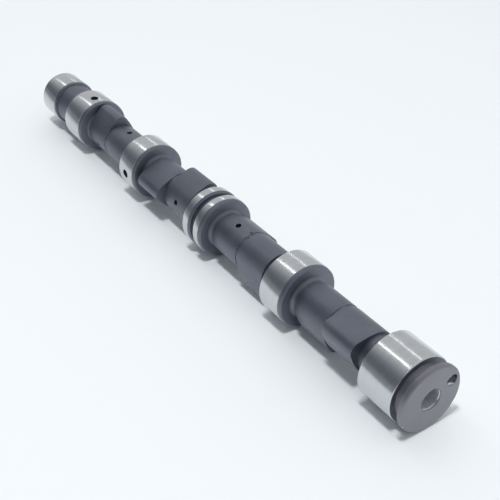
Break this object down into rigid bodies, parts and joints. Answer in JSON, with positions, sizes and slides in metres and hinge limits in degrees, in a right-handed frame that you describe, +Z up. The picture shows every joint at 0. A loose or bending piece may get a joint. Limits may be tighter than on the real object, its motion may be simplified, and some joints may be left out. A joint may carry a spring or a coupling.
{
  "type": "camshaft",
  "caption": "Cast camshaft with ground bearing journals, cam lobes, drilled oil holes and a front drive flange with thrust groove, threaded centre hole and dowel hole.",
  "frame": {"origin": "on the shaft axis, in the middle of the front bearing journal", "axes": "+Y along the shaft axis, from the drive flange toward the rear; +Z up; +X to the right when looking at the flange"},
  "size_m": [0.0454, 0.4717, 0.0454],
  "materials": {
    "camshaft": "phosphated grey iron, bearing journals ground bright"
  },
  "bodies": {
    "root": {"camshaft": "camshaft"}
  },
  "joints": []
}
